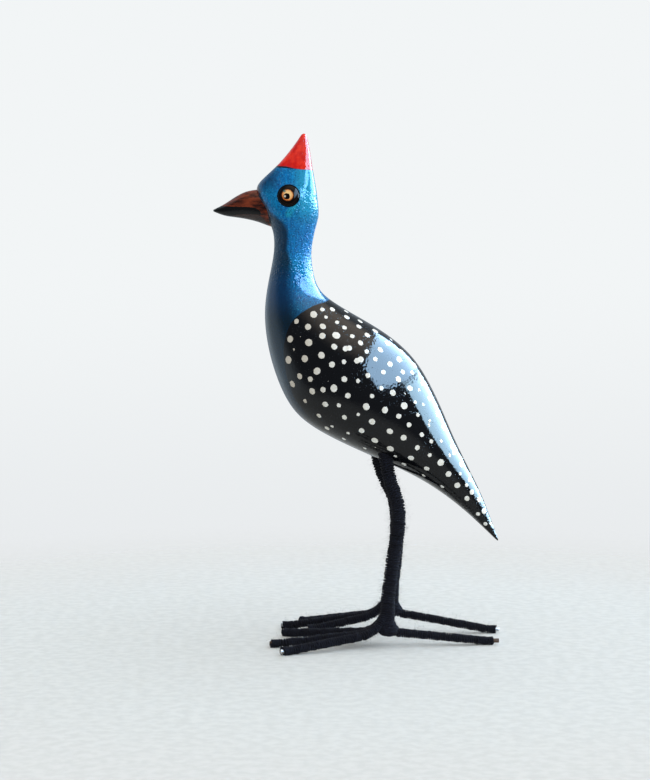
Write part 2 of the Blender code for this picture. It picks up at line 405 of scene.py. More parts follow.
def carvedSkin():
    bm = bmesh.new()
    bm.from_mesh(carvedBody.data)
    skin = BVHTree.FromBMesh(bm)
    bm.free()
    return skin


def eyeFrame(side):
    x, z = eyes["middle"]
    start = carved(x, z, side * carving["clear"])
    spot, normal, _, _ = carvedSkin().ray_cast(start, Vector((0, -side, 0)))
    return aimed(spot - normal * eyes["sink"], normal, "X")


# The legs and feet, in the stance that the solids have. Hip and ankle are thousandths,
# backwards and outwards. The bend is shares of the bow at bendAt, shares of the way from
# ankle to hip. A toe is its share of the toe length, its heading in degrees (positive
# turns outwards) and its share of the bare wire that shows.
legs = {
    "diameter": 0.0064,
    "toeDiameter": 0.0040,
    "press": 0.00025,  # how far the toes are pressed flat
    "hipDepth": 0.0105,
    "hipGap": 0.0001,
    "ankleSize": (0.0098, 0.0090, 0.0064),
    "ankleDrop": 0.0002,
    "frontBend": 0.0120,
    "backBend": 0.0050,
    "toeStart": 0.0009,
    "rise": 0.0040,
    "toeLength": 0.0510,
    "wireShowing": 0.0013,
    "touchdown": 0.0036,
    "droop": 1.05,
    "bow": 0.0058,
    "bendAt": (0, 0.16, 0.27, 0.37, 0.46, 0.55, 0.64, 0.71, 0.79, 0.90, 1),
    "bendSteps": 4,
}
feet = {
    "left": {
        "side": -1, "hip": (64, 56), "ankle": (76, 89), "rise": 1.1, "bow": 1.05,
        "bend": (0, 0.05, 0.28, 0.48, 0.74, 0.94, 0.96, 0.73, 0.39, 0.17, 0),
        "toes": {"outer": (1.008, 26.0, 0.4), "middle": (1.018, 4.9, 0.5),
                 "inner": (1.020, -26.3, 0.4), "back": (0.957, -176.9, 2.0)},
    },
    "right": {
        "side": 1, "hip": (39, 56), "ankle": (92, 95), "rise": 1.85, "bow": 1.26,
        "bend": (0, 0.23, 0.52, 0.73, 0.87, 0.97, 0.90, 0.61, 0.34, 0.15, 0),
        "toes": {"outer": (0.925, 25.5, 0.4), "middle": (1.004, 8.6, 0.5),
                 "inner": (0.771, -3.0, 0.4), "back": (0.951, -176.2, 1.0)},
    },
}


def onGround(foot, place):
    point = carved(place[0], 0, foot["side"] * place[1])
    point.z = legs["toeDiameter"] / 2 - legs["press"]
    return point


def bellyHeight(x):
    points = [section[0] for section in sectionsOf(carving["sections"])]
    for a, b in zip(points[:-1], points[1:]):
        if a.x <= x <= b.x:
            return a.lerp(b, (x - a.x) / (b.x - a.x)).z
    return points[-1].z


def legPath(foot):
    ankle = onGround(foot, foot["ankle"])
    ankle.z += foot["rise"] * legs["rise"]
    hip = onGround(foot, foot["hip"])
    hip.z = bellyHeight(hip.x) + legs["hipDepth"]
    bow = foot["bow"] * legs["bow"]
    bends = smoothThrough(list(zip(legs["bendAt"], foot["bend"])), legs["bendSteps"])
    return [ankle.lerp(hip, share) + Vector((bend * bow, 0, 0)) for share, bend in bends]


def toeDirection(foot, heading):
    angle = math.radians(heading)
    return Vector((-math.cos(angle), foot["side"] * math.sin(angle), 0))


def toePath(foot, toe, steps=16, bendSteps=7):
    # down inside the leg, round the bend of the ankle and out along the toe
    start = onGround(foot, foot["ankle"])
    direction = toeDirection(foot, toe[1])
    end = toe[0] * legs["toeLength"] - toe[2] * legs["wireShowing"]
    touchdown = end - legs["touchdown"]
    goesBack = direction.x > 0
    bend = legs["backBend"] if goesBack else legs["frontBend"]
    first = 0 if goesBack else legs["toeStart"]
    turns = [math.pi / 2 * i / bendSteps for i in range(bendSteps)]
    places = [(first + bend * (1 - math.cos(turn)), bend * (1 - math.sin(turn))) for turn in turns]
    straight = first + bend
    places += [(straight + (touchdown - straight) * i / steps, 0) for i in range(steps + 1)]
    path = []
    for along, lift in places:
        lift += foot["rise"] * legs["rise"] * (1 - (along / touchdown) ** legs["droop"])
        path.append(start + direction * along + Vector((0, 0, lift)))
    path.append(start + direction * (touchdown + end) / 2)
    path.append(start + direction * end)
    return path


# Cutting the blank: beak on, eyes and legs in
eyeFrames = {name: eyeFrame(foot["side"]) for name, foot in feet.items()}
beakRows = [(x, top, x, bottom, half, 1) for x, top, bottom, half in carving["beak"]]
beak = skinOver("beak_blank", sectionsOf(beakRows), carving["beakSides"], carving["beakSmoothing"])
carveWith(carvedBody, beak, "UNION")
for name, foot in feet.items():
    low, high = (eyeFrames[name] @ Vector((0, 0, z)) for z in (-eyes["seat"], eyes["holeTop"]))
    hole = roundBar("eye_hole", low, high, eyes["diameter"] / 2 + eyes["gap"], eyes["holeSides"])
    carveWith(carvedBody, hole, "DIFFERENCE")
    path = legPath(foot)
    inwards = (path[-1] - path[-4]).normalized()
    hole = roundBar("hip_hole", path[-1] - inwards * legs["hipDepth"] * 2, path[-1],
                    legs["diameter"] / 2 + legs["hipGap"])
    carveWith(carvedBody, hole, "DIFFERENCE")
carvedBody.data.shade_smooth()
carvedBody.data.set_sharp_from_angle(angle=math.radians(carving["creaseAngle"]))
print("carving cut:", len(carvedBody.data.polygons), "faces")

# What is painted where. Lines are read in the picture, in pixels across and down, and
# laid on the carving; a place on the skin is so many millimetres to one side of them.
mouthLine = ((205, 220), (230, 216.6), (237, 214.8), (246, 214.4), (254, 214.5))
marks = {
    "casque": (
        (262, 164.5), (270, 165.2), (278.8, 166), (286.4, 166.4), (293.6, 168.2), (300.7, 169.3),
        (311.4, 170), (322, 170.6)),
    "beak": (
        (252, 176), (256.5, 185), (258.5, 190.8), (259, 196.2), (261.4, 200.6), (264.6, 205.1),
        (266.8, 209.1), (268.1, 213.6), (268.4, 217.1), (269.4, 221.6), (271.6, 227), (262, 238),
        (200, 254)),
    "stripeTop": (
        (205, 204.5), (214, 205), (223, 206.3), (232, 206.6), (240, 206.8), (248, 207),
        (254.3, 207.6), (258, 209.3), (260.5, 212), (261.2, 214.6)),
    "stripeBottom": (*mouthLine, (259, 214.9), (261.2, 214.6)),
    "lowerBill": (*mouthLine, (259.6, 215.2), (264, 219.2), (268, 225), (271, 232)),
    "bib": (
        (345, 294), (331, 299), (326.5, 301.2), (324, 302.4), (319, 303.8), (313, 305.8),
        (306.8, 309.3), (300.8, 313.2), (295.6, 317.5), (291.3, 322.7), (288.2, 328.7), (285.8, 335.6),
        (284.3, 343.4), (283.7, 350.3), (283.8, 359), (285, 367.5), (286.7, 376), (289.3, 384.7),
        (292.2, 393.3), (295.6, 400.2), (299.9, 406.2), (303, 410), (309, 417)),
    "neckFront": (
        (259, 204), (266, 209.5), (275, 216), (283, 222), (286.5, 228), (288, 235), (287.5, 243),
        (287, 250), (289, 256), (291, 262), (291, 275), (292, 290), (294, 305), (297, 320), (299, 345),
        (305, 385), (317, 412), (345, 440)),
    "turquoise": ((294, 206.5), (291, 210), (289, 214)),
    "crack": ((279.3, 177.1), (280.4, 180.7), (281, 183.8)),
    "farAway": 9.0,  # millimetres, out of reach of any line or dot
    "dotSeed": 11,
    "dotField": (-1.3, -165, 600),  # millimetres from the bib line; foremost x, highest z
    "dotSpacing": 4.9,  # millimetres, on the widest part of the body
    "dotRadius": (0.95, 1.32),
    "seenLength": (1.0, 1.12),  # how much longer than a circle
    "hiddenLength": (1.0, 1.2),
    "smallDots": 0.2,  # share of the dots, and how much smaller they are
    "smallShare": (0.5, 0.75),
    "widest": (60, 340),  # thousandths
    "tailTip": (350, 0),
    "tailSpacing": 0.80,  # shares of spacing and size at the tip of the tail
    "tailSize": 0.66,
    "doubles": 0.06,  # share of the dots that touch a second one
    "doubleShift": 1.5,
    "doubleSize": 0.85,
}

# The dots on the side that the camera sees, read off an enlarged part of the picture:
# across and down from its corner, and the longest width
seenDots = {
    "corner": (250, 290),
    "enlarged": 5.808,
    "soft": 3,  # blurred rim of the picture, left off each width
    "dots": (
        (420, 113, 31), (479, 112, 36), (370, 142, 45), (441, 157, 26), (270, 182, 32), (506, 187, 29),
        (562, 157, 38), (559, 124, 33), (337, 214, 40), (423, 211, 38), (549, 218, 32), (633, 212, 36),
        (640, 181, 35), (420, 266, 40), (501, 263, 47), (594, 268, 32), (681, 261, 38), (728, 238, 42),
        (752, 229, 28), (233, 285, 42), (341, 305, 46), (642, 307, 35), (798, 309, 43), (489, 329, 38),
        (554, 341, 36), (577, 337, 36), (255, 347, 20), (757, 347, 38), (678, 357, 31), (883, 356, 35),
        (819, 287, 26), (415, 379, 42), (318, 399, 44), (223, 406, 48), (621, 411, 36), (644, 403, 38),
        (546, 417, 31), (728, 401, 33), (867, 403, 44), (813, 430, 39), (476, 433, 39), (958, 436, 40),
        (389, 471, 45), (775, 477, 34), (888, 476, 35), (942, 480, 34), (685, 496, 34), (288, 501, 38),
        (862, 518, 40), (350, 518, 36), (548, 518, 38), (627, 528, 29), (246, 546, 42), (1000, 544, 31),
        (487, 571, 46), (424, 579, 37), (929, 570, 39), (763, 570, 31), (982, 580, 25), (361, 588, 41),
        (830, 597, 39), (900, 600, 21), (568, 614, 37), (709, 616, 30), (1040, 630, 36), (320, 645, 30),
        (960, 652, 27), (1007, 665, 25), (437, 664, 38), (516, 670, 30), (896, 672, 44), (675, 678, 43),
        (784, 697, 40), (341, 707, 14), (628, 722, 26), (975, 725, 28), (864, 733, 34), (400, 730, 33),
        (548, 740, 34), (1088, 721, 38), (1044, 759, 23), (709, 765, 40), (924, 783, 33),
        (1041, 786, 23), (1124, 796, 44), (477, 793, 26), (447, 803, 36), (648, 817, 38),
        (812, 821, 38), (569, 831, 26), (998, 840, 31), (892, 858, 39), (545, 865, 31), (725, 874, 42),
        (1053, 879, 29), (1111, 877, 25), (1172, 908, 32), (972, 916, 33), (815, 922, 44),
        (666, 919, 26), (726, 914, 13), (1044, 959, 28), (1160, 961, 24), (1185, 945, 36),
        (935, 976, 38), (845, 966, 25), (782, 969, 27), (1108, 1002, 43), (1227, 1014, 38),
        (1026, 1037, 34), (894, 1012, 32), (1153, 1069, 38), (1221, 1067, 24), (1008, 1077, 26),
        (1204, 1135, 38), (1258, 1133, 26), (1275, 1102, 34), (1116, 1142, 27), (1289, 1174, 34),
        (1260, 1211, 34), (1330, 1217, 34), (1324, 1301, 28), (1361, 1284, 38), (1367, 1359, 26),
        (1399, 1356, 27), (456, 529, 9), (293, 270, 9), (1257, 1176, 10), (1282, 1067, 26),
        (1229, 973, 26), (1326, 1164, 26)),
}


def lineGap(x, z, line):
    # distance from a line of points, positive on the right-hand side of its run
    best, sign = 1e9, 1
    for (ax, az), (bx, bz) in zip(line[:-1], line[1:]):
        dx, dz = bx - ax, bz - az
        share = ((x - ax) * dx + (z - az) * dz) / (dx * dx + dz * dz)
        share = np.clip(share, 0, 1)
        gap = np.hypot(x - ax - dx * share, z - az - dz * share)
        turned = (z - az) * dx - (x - ax) * dz
        sign = np.where(gap < best, np.where(turned < 0, 1.0, -1.0), sign)
        best = np.minimum(best, gap)
    return best * sign * unit / mm


def onSkin(skin, across, down):
    # the carving's own x and z under a pixel, or on its middle plane beside it
    eye, way = seenThrough(across, down)
    spot = skin.ray_cast(eye, way)[0]
    if spot is None:
        spot = eye + way * ((carvingStart.y - eye.y) / way.y)
    return (spot.x - carvingStart.x) / unit, (spot.z - carvingStart.z) / unit


def meshPoints(mesh, which="co"):
    points = np.empty(len(mesh.vertices) * 3, dtype=np.float32)
    mesh.vertices.foreach_get(which, points)
    return points.reshape(-1, 3)


def dotsOnSeenSide(rng, skin):
    left, top = seenDots["corner"]
    enlarged = seenDots["enlarged"]
    taken = []
    for across, down, width in seenDots["dots"]:
        eye, way = seenThrough(left + across / enlarged, top + down / enlarged)
        spot, normal, _, away = skin.ray_cast(eye, way)
        if spot is None:
            continue
        radius = (width - seenDots["soft"]) / enlarged / 2 * away / focal / mm
        lean = Vector((rng.uniform(-1, 1), 0, rng.uniform(-1, 1))).cross(normal).normalized()
        taken.append((spot, radius, lean, rng.uniform(*marks["seenLength"])))
    return taken


def dotCentres(points, normals, painted, skin):
    # on the far side a hand-dotted scatter, closer and smaller towards the tail
    rng = random.Random(marks["dotSeed"])
    taken = dotsOnSeenSide(rng, skin)
    camera = scene.camera.matrix_basis.translation
    tailTip = carved(*marks["tailTip"])
    span = (tailTip - carved(*marks["widest"])).length
    grid = {}
    cell = marks["dotSpacing"] * mm

    def keyOf(spot):
        return tuple(math.floor(c / cell) for c in spot)

    for spot, _, _, _ in taken:
        grid.setdefault(keyOf(spot), []).append(spot)
    order = [i for i in range(len(points)) if painted[i]
             and Vector(normals[i]).dot(camera - Vector(points[i])) < 0]
    rng.shuffle(order)
    for i in order:
        spot = Vector(points[i])
        nearTail = 1 - min(1.0, (spot - tailTip).length / span)
        spacing = marks["dotSpacing"] * (1 - (1 - marks["tailSpacing"]) * nearTail) * mm
        key = keyOf(spot)
        around = (grid.get((key[0] + a, key[1] + b, key[2] + c), ())
                  for a in (-1, 0, 1) for b in (-1, 0, 1) for c in (-1, 0, 1))
        if any((spot - other).length < spacing for group in around for other in group):
            continue
        grid.setdefault(key, []).append(spot)
        radius = rng.uniform(*marks["dotRadius"]) * (1 - (1 - marks["tailSize"]) * nearTail)
        if rng.random() < marks["smallDots"]:
            radius *= rng.uniform(*marks["smallShare"])
        lean = Vector([rng.uniform(-1, 1) for _ in range(3)])
        lean = lean.cross(Vector(normals[i])).normalized()
        taken.append((spot, radius, lean, rng.uniform(*marks["hiddenLength"])))
        if rng.random() < marks["doubles"]:
            shift = rng.choice((-1, 1)) * radius * marks["doubleShift"] * mm
            taken.append((spot + Vector((shift, 0, 0)), radius * marks["doubleSize"],
                          Vector((1, 0, 0)), 1.0))
    return taken


def dotGaps(points, dots):
    # distance of every place from the rim of its nearest dot, in millimetres
    tree = kdtree.KDTree(len(dots))
    for i, dot in enumerate(dots):
        tree.insert(dot[0], i)
    tree.balance()
    gaps = np.full(len(points), marks["farAway"], dtype=np.float32)
    for i, point in enumerate(points):
        spot = Vector(point)
        for _, j, _ in tree.find_n(spot, 4):
            centre, radius, lean, long = dots[j]
            offset = (spot - centre) / mm
            along = offset.dot(lean)
            across = (offset - lean * along).length
            gaps[i] = min(gaps[i], math.hypot(along / long, across * long ** 0.5) - radius)
    return gaps


def paintCarving():
    mesh = carvedBody.data
    points = meshPoints(mesh)
    x = (points[:, 0] - carvingStart.x) / unit
    z = (points[:, 2] - carvingStart.z) / unit
    skin = carvedSkin()

    def gapFrom(name):
        return lineGap(x, z, [onSkin(skin, *pixel) for pixel in marks[name]])

    gaps = {name: gapFrom(name) for name in ("casque", "beak", "bib", "stripeTop", "stripeBottom",
                                             "lowerBill", "neckFront", "turquoise", "crack")}
    gaps["turquoise"] = np.abs(gaps["turquoise"])
    onLeft = points[:, 1] < carvingStart.y
    gaps["crack"] = np.where(onLeft, np.abs(gaps["crack"]), marks["farAway"])
    eyeX, eyeZ = eyes["middle"]
    gaps["eye"] = np.hypot(x - eyeX, z - eyeZ) * unit / mm - eyes["diameter"] / 2 / mm
    bibGap, foremost, highest = marks["dotField"]
    inside = (gaps["bib"] < bibGap) & (z < highest) & (x > foremost)
    dots = dotCentres(points, meshPoints(mesh, "normal"), inside, skin)
    gaps["dot"] = dotGaps(points, dots)
    for name, values in gaps.items():
        putAttribute(mesh, name + "Gap", values)
    putAttribute(mesh, "forward", -x * unit / mm)
    putAttribute(mesh, "height", z * unit / mm)
    print("dots painted:", len(dots))


paintCarving()


def carvingPaint():
    paint = Paint("painted_lacquered_wood", IOR=1.5, Specular_IOR_Level=0.28)
    wobble = (paint.grain(900, 3) - 0.5) * 0.34
    height = paint.attribute("height")
    forward = paint.attribute("forward")

    def gap(name, share=1.0):
        return paint.attribute(name + "Gap") + wobble * share

    # the blue ends at the bib line, and below it fades into the black
    isBlue = gap("bib").ramp(-0.2, 0.2) * height.ramp(52, 58)
    isRed = gap("casque").ramp(0.12, -0.12)
    isBeak = gap("beak").ramp(-0.12, 0.12)
    isDot = (paint.attribute("dotGap") + (paint.grain(1400, 2) - 0.5) * 0.30).ramp(0.07, -0.07)
    isDot = isDot * (1 - isBlue)

    # blue with turquoise in it, brushed down the neck: paler and more turquoise at the back of the
    # head, on the side the light falls on, partly the paint's tone and partly painted light; paler
    # under the eye; darker along the front, partly darker paint and partly painted shade on the side
    # turned from the light; painted shade on the forehead; darker where the neck widens; and pale
    # specks of painted sparkle highlight
    streak = paint.grain(900, 3, (1.0, 1.0, 0.22), 0.6)
    cloud = paint.grain(90, 3)
    # the back of the head, on the side the light falls on, paler and more turquoise: partly the paint's
    # tone, partly painted light
    backOfHead = height.ramp(136, 150) * forward.ramp(30, 22.5)
    underEye = paint.attribute("turquoiseGap").ramp(2.4, 0.3) * cloud.ramp(0.25, 0.5)
    # the front of the neck darkened: partly darker paint, partly painted shade on the side turned from
    # the light
    front = (gap("neckFront", 2) / height.ramp(112, 126, 3.6, 1.0)).ramp(-1, 1)
    front = front * height.ramp(152, 144)
    navyAndShade = paint.mix(height.ramp(124, 114), rgb(8, 34, 50), rgb(8, 42, 78))
    navyAndShade = paint.mix(height.ramp(110, 96), navyAndShade, rgb(8, 22, 30))
    # painted shade on the forehead
    forehead = forward.ramp(31, 38) * height.ramp(150, 158)
    # painted sparkle highlights: pale specks laid into the colour, kept off the front and forehead
    sparkle = paint.grain(1400, 1).ramp(0.60, 0.72) * (1 - front) * (1 - forehead)
    blue = paint.layers(
        rgb(0, 98, 160),
        (streak.ramp(0.32, 0.70) * 0.8, rgb(8, 136, 206)),
        (cloud.ramp(0.45, 0.72) * 0.35, rgb(20, 150, 196)),
        (backOfHead * 0.85, rgb(48, 166, 206)),
        (underEye * 0.9, rgb(44, 186, 204)),
        (height.ramp(116, 94) * 0.85, rgb(6, 62, 92)),
        (front * 0.9, navyAndShade),
        (forehead * 0.75, rgb(12, 50, 82)),
        (paint.grain(1900, 2).ramp(0.50, 0.34) * 0.6, rgb(2, 40, 70)),
        (sparkle * 0.5, rgb(64, 174, 216)))

    # black lacquer with dust in it
    dust = paint.cells(1100).ramp(0.16, 0.06) * paint.grain(130, 2).ramp(0.44, 0.62)
    black = paint.mix(dust * 0.5, rgb(12, 13, 16), rgb(110, 114, 116))

    # red casque, blotched where the wood shows through
    blotch = paint.grain(420, 5, (1, 1, 0.6)).ramp(0.35, 0.68)
    red = paint.mix(blotch, rgb(204, 17, 12), rgb(240, 50, 28))

    # beak: red brown above, a black mouth line, and grey brown below, which is painted reflection of
    # the pale floor in the underside
    woody = paint.grain(520, 5, (0.35, 1, 1.4), 0.65).ramp(0.34, 0.66)
    upper = paint.mix(woody, rgb(40, 16, 12), rgb(128, 56, 32))
    floorReflectionUnderBill = paint.mix(woody, rgb(38, 32, 32), rgb(70, 58, 56))
    inMouth = gap("stripeBottom", 0.6).ramp(0.10, -0.10) * gap("stripeTop", 0.6).ramp(-0.10, 0.10)
    beak = paint.layers(upper, (gap("lowerBill", 0.6).ramp(-0.10, 0.10), floorReflectionUnderBill),
                        (inMouth, rgb(12, 12, 13)))

    # white dots, duller and warmer towards the front: painted shade on the breast, which is turned from
    # the light
    white = paint.mix(paint.grain(800).ramp(0.3, 0.7), rgb(246, 247, 242), rgb(230, 229, 218))
    white = paint.mix(forward.ramp(8, 26) * 0.8, white, rgb(206, 198, 182))

    # dark lines where two paints meet and around the eyes, and the crack over the left eye
    beakRim = gap("beak").within(-0.85, -0.02, 0.12) * (1 - isBeak)
    rimWidth = forward.ramp(25, 32, 0.12, 0.72)
    casqueRim = (gap("casque", 0.5) - rimWidth).ramp(0.1, -0.1) * (1 - isRed) * (1 - isBeak)
    crack = gap("crack", 0.5).ramp(0.22, 0.08)
    eyeRim = gap("eye").ramp(0.34, 0.14)
    color = paint.layers(
        black, (isBlue, blue), (isDot, white), (isRed, red), (isBeak, beak),
        (beakRim * 0.8, rgb(10, 15, 20)), (casqueRim, rgb(8, 12, 20)),
        (crack * 0.7, rgb(10, 14, 20)), (eyeRim, rgb(9, 9, 10)))

    # the blue is satin on the neck and glossier on the head and where the neck widens
    onBlue = isBlue * (1 - isRed) * (1 - isBeak) * (1 - eyeRim)
    gloss = paint.grain(260, 3).ramp(0.3, 0.7, 0.05, 0.10)
    satin = height.ramp(146, 138) * height.ramp(119, 126)
    speck = paint.grain(1500, 2).ramp(0.44, 0.60)
    rough = onBlue * (satin * (0.30 - speck * 0.14) + 0.13) + (1 - onBlue) * gloss

    # the lacquer's surface: slow waves, scattered pits, and a fine ripple on the neck and
    # the end of the tail that breaks up what they mirror
    waves = paint.grain(1000, 0) * 0.6 + paint.grain(420, 1) * 0.7 + paint.grain(120, 2)
    cells = paint.cells(900)
    pits = cells.ramp(0.22, 0.08) * paint.grain(150, 2).ramp(0.50, 0.64)
    onNeck = height.ramp(158, 150) * height.ramp(110, 118) * onBlue
    ripple = cells.ramp(0.6, 0.0) * height.ramp(26, 12).most(onNeck)
    bump = paint.relief(waves, 0.00006, 0.7)
    bump = paint.relief(1 - pits, 0.00012, 0.8, bump)
    bump = paint.relief(ripple, 0.00017, 0.9, bump)
    bump = paint.relief(isDot + (1 - crack) * 2, 0.00004, 0.8, bump)
    return paint.finish(Base_Color=color, Metallic=onBlue * 0.03, Roughness=rough, Normal=bump)


carvedBody.data.materials.clear()
carvedBody.data.materials.append(carvingPaint())
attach(carvedBody, "root")
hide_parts("carved_body")


def makeEye(name, seat):
    # the dome's profile, spun about the eye's own axis
    radius = eyes["diameter"] / 2
    bm = bmesh.new()
    profile = [(0.0, -eyes["seat"]), (radius, -eyes["seat"]), (radius, -eyes["rimDrop"])]
    steps = eyes["domeSteps"]
    full = eyes["fullness"]
    for i in range(1, steps + 1):
        angle = math.pi / 2 * i / steps
        profile.append((radius * math.cos(angle) ** full, eyes["bulge"] * math.sin(angle) ** full))
    points = [bm.verts.new((x, 0, z)) for x, z in profile]
    wire = [bm.edges.new(pair) for pair in zip(points[:-1], points[1:])]
    bmesh.ops.spin(bm, geom=points + wire, cent=(0, 0, 0), axis=(0, 0, 1), angle=2 * math.pi,
                   steps=eyes["domeSides"], use_merge=True)
    bmesh.ops.remove_doubles(bm, verts=bm.verts, dist=0.000002)
    bmesh.ops.recalc_face_normals(bm, faces=bm.faces)
    piece = showMesh(name, bm, seat, eyes["creaseAngle"])
    offsets = (meshPoints(piece.data) - np.array(seat.translation)) / mm
    putAttribute(piece.data, "eyeForward", -offsets[:, 0])
    putAttribute(piece.data, "eyeUp", offsets[:, 2])
    return piece


def eyePaint():
    paint = Paint("painted_eye", IOR=1.5, Coat_Weight=0.12, Coat_Roughness=0.03, Coat_IOR=1.5,
                  Specular_IOR_Level=0.04)
    forward = paint.attribute("eyeForward")
    up = paint.attribute("eyeUp")
    wobble = (paint.grain(1100, 2) - 0.5) * 0.5

    def ring(middle):
        return paint.node("VectorMath", {"operation": "LENGTH"}, {
            0: paint.node("CombineXYZ", {}, {0: forward - middle[0], 1: up - middle[1]})}, "Value")

    rim = ring((0.0, 0.0)) + wobble * 0.3 - eyes["sheenRingRadius"]
    iris = ring(eyes["irisMiddle"]) + wobble
    pupil = ring(eyes["pupilMiddle"]) + wobble
    tealGlint = ring(eyes["tealGlintMiddle"]) + wobble
    glint = ring(eyes["glintMiddle"]) + wobble
    irisRadius = eyes["irisRadius"]
    pupilRadius = eyes["pupilRadius"]
    amber = paint.mix((iris - pupil * 0.4).ramp(0.4, 1.7), rgb(246, 206, 140), rgb(214, 120, 52))
    color = paint.layers(
        rgb(10, 9, 8),
        # a faint brown ring in the black: the painted sheen of a raised ring
        (rim.ramp(-0.35, 0.0) * rim.ramp(0.35, 0.0), rgb(30, 20, 16)),
        (iris.ramp(irisRadius + 0.32, irisRadius), rgb(120, 58, 26)),
        (iris.ramp(irisRadius + 0.05, irisRadius - 0.2), amber),
        (pupil.ramp(pupilRadius + 0.1, pupilRadius - 0.1), rgb(8, 7, 8)),
        # a teal glint in the iris: a painted reflection
        (tealGlint.ramp(0.75, 0.3) * 0.8, rgb(38, 120, 118)),
        # a pale glint on the pupil: a painted highlight
        (glint.ramp(0.62, 0.2) * 0.8, rgb(238, 226, 200)))
    bump = paint.relief(paint.grain(900, 3), 0.00004, 0.35)
    return paint.finish(Base_Color=color, Roughness=paint.grain(700).ramp(0.3, 0.7, 0.10, 0.2),
                        Normal=bump)


eyeMaterial = eyePaint()
for name in feet:
    dome = makeEye(f"{name}_eye_dome", eyeFrames[name])
    dome.data.materials.append(eyeMaterial)
    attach(dome, "root")
    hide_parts(f"{name}_eye")
print("eyes set")

# The yarn: one two-ply strand wound turn by turn over each leg, ankle and toe
yarn = {
    # the strand is a radius, the swell is at the ankle, and the winding laid across is that
    # much further out and that thick, in strands
    "leg": {"strand": 0.00052, "pitch": 0.00104, "steps": 18, "swell": 0.0, "across": (0.25, 0.8)},
    "toe": {"strand": 0.00048, "pitch": 0.00094, "steps": 14, "swell": 0.16, "across": (0.2, 0.75)},
    "crossPitch": 0.0052,  # the second winding is open, and lies across the first
    "swellLength": 0.006,
    "pathStep": 0.0005,
    "tilt": 0.0006,  # how far a turn leans along the leg
    "slip": 0.6,  # how far turns crowd or part, in pitches
    "loopSteps": 22,
    "coreDepth": 1.5,  # in strands under the surface
    "plyLength": 0.0019,
    "plyDepth": 0.16,
    "fuzz": 1600,  # loose fibres on each leg
    "fuzzLength": (0.0014, 0.0042),
    "fuzzRadius": 0.000013,
    "seed": 5,
}
# two lumps in each ankle: sizes are shares of the ankle's, offsets are metres back and up
ankleLumps = (
    {"share": (1.0, 1.0, 1.0), "offset": (0.0, 0.0), "loops": 22},
    {"share": (0.76, 0.85, 0.92), "offset": (0.0001, 0.0018), "loops": 14},
)


def measured(path):
    # the path again, in even steps, with a frame that doesn't twist at each
    places = []
    for a, b in zip(path[:-1], path[1:]):
        count = max(1, round((b - a).length / yarn["pathStep"]))
        places += [a.lerp(b, k / count) for k in range(count)]
    places.append(path[-1])
    frames = []
    side = Vector((0, 1, 0))
    for i, place in enumerate(places):
        ahead = places[min(i + 1, len(places) - 1)] - places[max(i - 1, 0)]
        ahead.normalize()
        side = (side - ahead * side.dot(ahead)).normalized()
        frames.append((place, ahead, side, ahead.cross(side)))
    return frames


def frameAt(frames, share):
    spot = share * (len(frames) - 1)
    i = min(int(spot), len(frames) - 2)
    t = spot - i
    return [a.lerp(b, t) for a, b in zip(frames[i], frames[i + 1])]


def closeEnds(coil):
    coil[0] = (coil[0][0], 0.0)
    coil[-1] = (coil[-1][0], 0.0)
    return coil


def unevenness(turn, drift):
    # slow and quick changes, as shares of the strand
    slow = noise.noise(Vector((turn * 0.13, drift, 9)))
    quick = noise.noise(Vector((turn * 0.8, drift, 5)))
    return slow * 0.16 + quick * 0.14


def winding(path, radius, pitch, strand, limb, rng, hand=1):
    # a strand wound round the path, as places that each have the strand's radius there
    frames = measured(path)
    turnSteps = limb["steps"]
    length = sum((b[0] - a[0]).length for a, b in zip(frames[:-1], frames[1:]))
    steps = int(length / pitch * turnSteps)
    drift = rng.uniform(0, 100)
    coil = []
    for i in range(steps + 1):
        turn = i / turnSteps
        angle = turn * 2 * math.pi * hand
        lean = noise.noise(Vector((turn * 0.21, drift, 2))) * yarn["tilt"]
        slip = noise.noise(Vector((turn * 0.31, drift, 0))) * yarn["slip"] * pitch
        share = i / steps + (slip + lean * math.cos(angle + drift)) / length
        place, _, side, up = frameAt(frames, min(max(share, 0), 1))
        rough = unevenness(turn, drift)
        thick = 1 + limb["swell"] * math.exp(-share * length / yarn["swellLength"])
        reach = radius * thick - strand + strand * rough
        coil.append((place + side * reach * math.cos(angle) + up * reach * math.sin(angle),
                     strand * (1 + rough * 0.5)))
    return closeEnds(coil)


def ankleWinding(foot, lump, rng):
    # loops laid over the ankle in all directions, which make its lump
    size = Vector(legs["ankleSize"]) / 2
    middle = onGround(foot, foot["ankle"])
    middle.x += lump["offset"][0]
    middle.z += foot["rise"] * legs["rise"] + size.z - legs["toeDiameter"] / 2 - legs["ankleDrop"]
    middle.z += lump["offset"][1]
    strand = yarn["leg"]["strand"]
    reach = Vector([s * share - strand for s, share in zip(size, lump["share"])])
    coil = []
    steps = yarn["loopSteps"]
    drift = rng.uniform(0, 100)
    for i in range(lump["loops"] * steps + 1):
        loop = i / steps
        lean = 1.15 * math.sin(loop * 0.83 + drift) + 0.3 * math.sin(loop * 2.3)
        twist = loop * 0.41 + drift
        turn = Matrix.Rotation(twist, 3, "Z") @ Matrix.Rotation(lean, 3, "Y")
        angle = loop * 2 * math.pi
        spot = turn @ Vector((0.22 * math.sin(loop * 1.1), math.cos(angle), math.sin(angle)))
        spot.normalize()
        puff = 1 + unevenness(loop * 2, drift) * 0.5
        coil.append((middle + Vector([a * b * puff for a, b in zip(spot, reach)]), strand))
    return closeEnds(coil)


def sweep(name, runs, roundness):
    # every run of (place, radius) becomes a closed tube of its own
    data = bpy.data.curves.new(name, "CURVE")
    data.dimensions = "3D"
    data.bevel_depth = 1.0
    data.bevel_resolution = roundness
    for run in runs:
        spline = data.splines.new("POLY")
        spline.points.add(len(run) - 1)
        spline.points.foreach_set("co", [c for place, _ in run for c in (*place, 1.0)])
        spline.points.foreach_set("radius", [radius for _, radius in run])
    curve = link(name, data)
    mesh = finalMesh(curve)
    bpy.data.objects.remove(curve)
    return mesh


